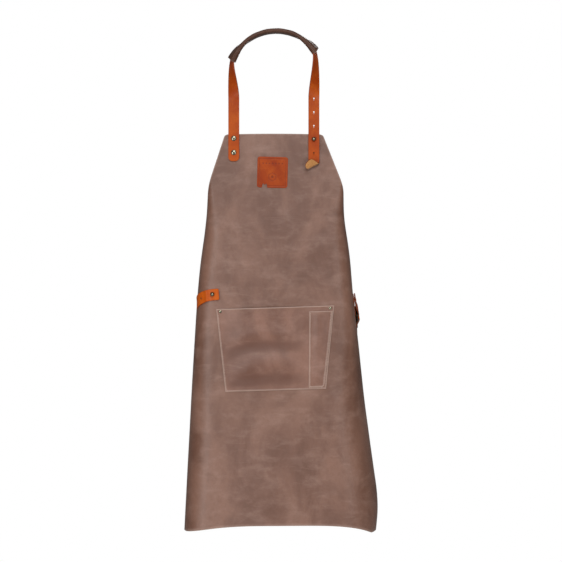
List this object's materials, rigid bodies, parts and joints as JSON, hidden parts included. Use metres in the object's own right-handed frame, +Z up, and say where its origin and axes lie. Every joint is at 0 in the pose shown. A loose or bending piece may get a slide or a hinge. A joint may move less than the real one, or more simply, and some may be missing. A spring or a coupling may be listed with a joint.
{
  "type": "welding apron",
  "caption": "Brown leather welding apron with orange-tan neck and waist straps, a leather neck sleeve, a bib patch and a sewn front pocket with a narrow tool pocket.",
  "frame": {"origin": "hanging point: the middle of the inside of the neck sleeve, where a peg or a neck bears", "axes": "+Z up, -Y out of the front of the apron, +X to the right as seen from the front"},
  "size_m": [0.4228, 0.2013, 1.1101],
  "materials": {
    "panel_leather": "brown pull-up leather, waxed, semi-matt",
    "sleeve_leather": "brown pull-up leather, darker in use",
    "strap_leather": "orange-tan bridle leather, smooth",
    "patch_leather": "orange-tan leather, debossed",
    "thread": "waxed thread",
    "antique_brass": "antique brass, dark in the recesses"
  },
  "bodies": {
    "apron": {"apron_panel": "panel_leather", "pocket_panel": "panel_leather", "tool_pocket_panel": "panel_leather", "bib_patch": "patch_leather", "neck_strap": "strap_leather", "waist_strap": "strap_leather", "waist_tab": "strap_leather", "pocket_stitching": "thread", "tool_pocket_stitching": "thread", "pocket_rivet_caps": "antique_brass", "pocket_rivet_posts": "antique_brass", "neck_rivet_caps": "antique_brass", "neck_rivet_posts": "antique_brass", "neck_stud_head": "antique_brass", "neck_stud_screw": "antique_brass", "waist_stud_head": "antique_brass", "waist_stud_screw": "antique_brass", "tab_rivet_cap": "antique_brass", "tab_rivet_post": "antique_brass", "strap_rivet_cap": "antique_brass", "strap_rivet_post": "antique_brass"},
    "sleeve": {"neck_sleeve": "sleeve_leather", "sleeve_stitching": "thread"},
    "ring": {"waist_ring": "antique_brass"}
  },
  "joints": [
    {"name": "sleeve_slide", "type": "hinge", "parent": "apron", "child": "sleeve", "pos_m": [0, 0, -0.098], "axis": [0, 1, 0], "range_deg": [-6, 6]},
    {"name": "ring_swing", "type": "hinge", "parent": "apron", "child": "ring", "pos_m": [0.18592, 0.07552, -0.61661], "axis": [-0.0691, 0.7054, 0.7054], "range_deg": [-3, 3]}
  ]
}
